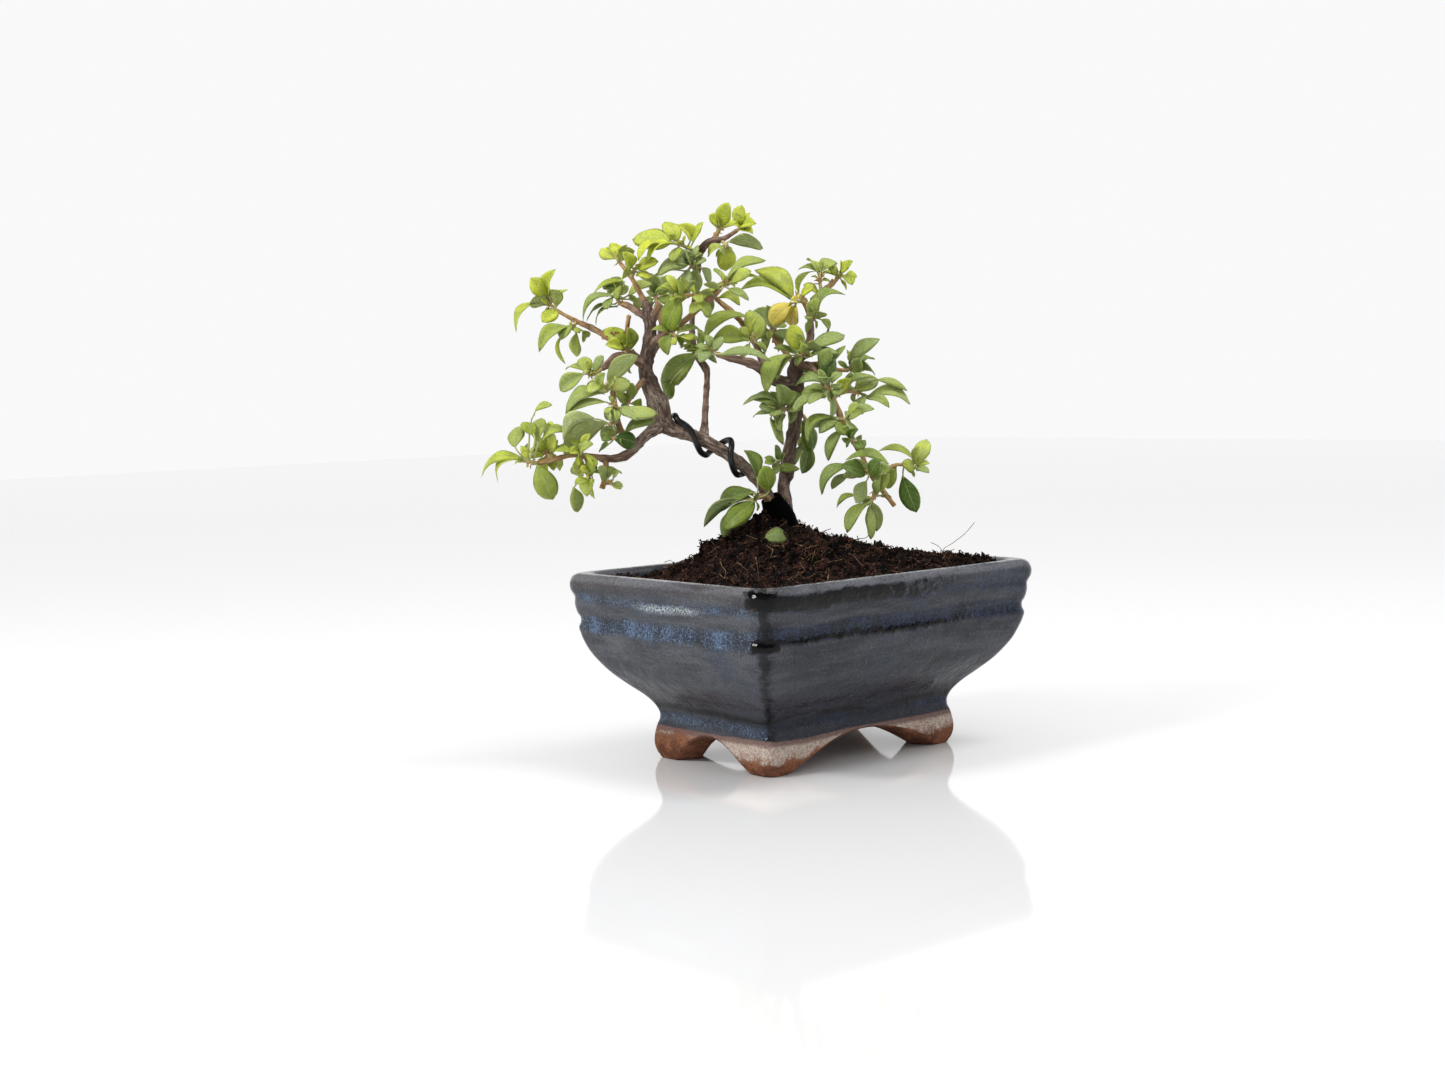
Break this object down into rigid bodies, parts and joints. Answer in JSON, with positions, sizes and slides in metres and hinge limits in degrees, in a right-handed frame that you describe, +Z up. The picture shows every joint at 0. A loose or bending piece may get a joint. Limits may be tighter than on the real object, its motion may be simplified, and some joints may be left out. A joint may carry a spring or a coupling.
{
  "type": "cotoneaster bonsai",
  "caption": "Cotoneaster bonsai with a forked trunk, a wired stem and small oval leaves, planted in a rectangular dark glazed pot that stands on corner feet.",
  "frame": {"origin": "middle of the whole bonsai's bounding box, at the level the pot's feet stand on", "axes": "+X along the pot's long side towards the right, +Y from the pot's front long side to its back, +Z up"},
  "size_m": [0.1846, 0.149, 0.2178],
  "materials": {
    "glaze": "dark blue-grey gloss glaze, bare reddish clay on the feet",
    "soil": "matt, fibrous and crumbly",
    "bark": "rough grey-brown bark",
    "sleeve": "black, dull, wrinkled",
    "wire": "black, satin",
    "leaf": "soft matt green, downy",
    "yellow_leaf": "soft matt yellow, downy"
  },
  "bodies": {
    "root": {"pot": "glaze", "soil": "soil", "wood": "bark", "root_wrap": "sleeve", "wire": "wire", "fallen_leaf": "leaf", "spray_arm_tip": "leaf", "spray_arm_node": "leaf", "spray_crown_twig_leaves": "leaf", "spray_tall_twig_leaves": "leaf", "spray_tall_twig_side": "leaf", "spray_crown_top": "leaf", "spray_crown_front": "leaf", "spray_apex": "leaf", "spray_apex_twig_leaves": "leaf", "spray_apex_low": "leaf", "spray_rising_tip": "leaf", "spray_rising_low": "leaf", "spray_rising_under": "leaf", "spray_upright_leaves": "leaf", "spray_limb_tip": "leaf", "spray_crossing_leaves": "leaf", "spray_crossing_tip": "leaf", "spray_yellow_leaves": "yellow_leaf", "spray_long_leaves": "leaf", "spray_top_right": "leaf", "spray_right_tip": "leaf", "spray_right_hook": "leaf", "spray_fork_leaves": "leaf", "spray_shade_leaves": "leaf", "spray_outer_right": "leaf", "spray_right_shelf": "leaf", "spray_inner_right": "leaf", "spray_stem_leaves": "leaf", "spray_stem_side": "leaf", "spray_knot_leaves": "leaf", "spray_arm_leaves": "leaf", "spray_arm_knot": "leaf", "spray_low_right": "leaf", "spray_low_right_under": "leaf", "spray_far_right": "leaf", "spray_basal": "leaf", "spray_low_tip": "leaf", "spray_low_mid": "leaf", "spray_low_hanging": "leaf", "spray_low_top": "leaf", "spray_spur_tip": "leaf", "spray_grey_leaves": "leaf", "spray_dark_leaf": "leaf", "spray_ochre_top": "leaf", "spray_ochre_low": "leaf", "spray_stub_rosette": "leaf", "spray_spur_leaves": "leaf", "spray_arm_base": "leaf", "spray_back_crown": "leaf", "spray_back_right": "leaf"}
  },
  "joints": []
}
